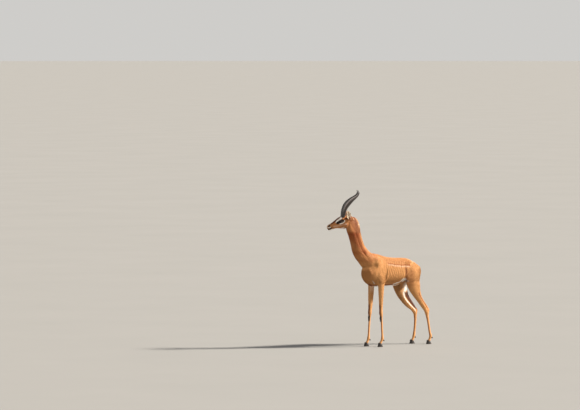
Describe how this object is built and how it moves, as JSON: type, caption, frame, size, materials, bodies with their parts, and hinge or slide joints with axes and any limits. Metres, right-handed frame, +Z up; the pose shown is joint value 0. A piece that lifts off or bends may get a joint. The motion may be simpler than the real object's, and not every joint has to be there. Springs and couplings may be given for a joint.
{
  "type": "gerenuk",
  "caption": "Life-size still model of an adult male gerenuk, a long-necked antelope with ringed horns, standing alert with its head turned to its right.",
  "frame": {"origin": "on the floor, under the middle of the box round the whole animal", "axes": "+X the way the body faces, +Y its left, +Z up; the head is turned to the animal's right"},
  "size_m": [1.2408, 0.2846, 1.6924],
  "materials": {
    "coat": "short, flat, glossy red-brown fur, paler on the flanks, white on the belly and round the eyes",
    "horn": "dark grey-brown horn with raised rings, worn smoother and darker at the tips",
    "hoof": "black hoof horn with a dull shine",
    "eye": "wet, very dark brown eye",
    "tail_hair": "long black hair on a thin red-brown tail"
  },
  "bodies": {
    "root": {"dewclaw_fore_left_inner": "hoof", "dewclaw_fore_left_outer": "hoof", "dewclaw_fore_right_inner": "hoof", "dewclaw_fore_right_outer": "hoof", "dewclaw_hind_left_inner": "hoof", "dewclaw_hind_left_outer": "hoof", "dewclaw_hind_right_inner": "hoof", "dewclaw_hind_right_outer": "hoof", "ear_left": "coat", "ear_right": "coat", "eye_left": "eye", "eye_right": "eye", "foreleg_left_lower": "coat", "foreleg_left_upper": "coat", "foreleg_right_lower": "coat", "foreleg_right_upper": "coat", "head": "coat", "hindleg_left_lower": "coat", "hindleg_left_upper": "coat", "hindleg_right_lower": "coat", "hindleg_right_upper": "coat", "hoof_fore_left_inner": "hoof", "hoof_fore_left_outer": "hoof", "hoof_fore_right_inner": "hoof", "hoof_fore_right_outer": "hoof", "hoof_hind_left_inner": "hoof", "hoof_hind_left_outer": "hoof", "hoof_hind_right_inner": "hoof", "hoof_hind_right_outer": "hoof", "horn_left": "horn", "horn_right": "horn", "neck": "coat", "tail": "tail_hair", "trunk": "coat"}
  },
  "joints": []
}
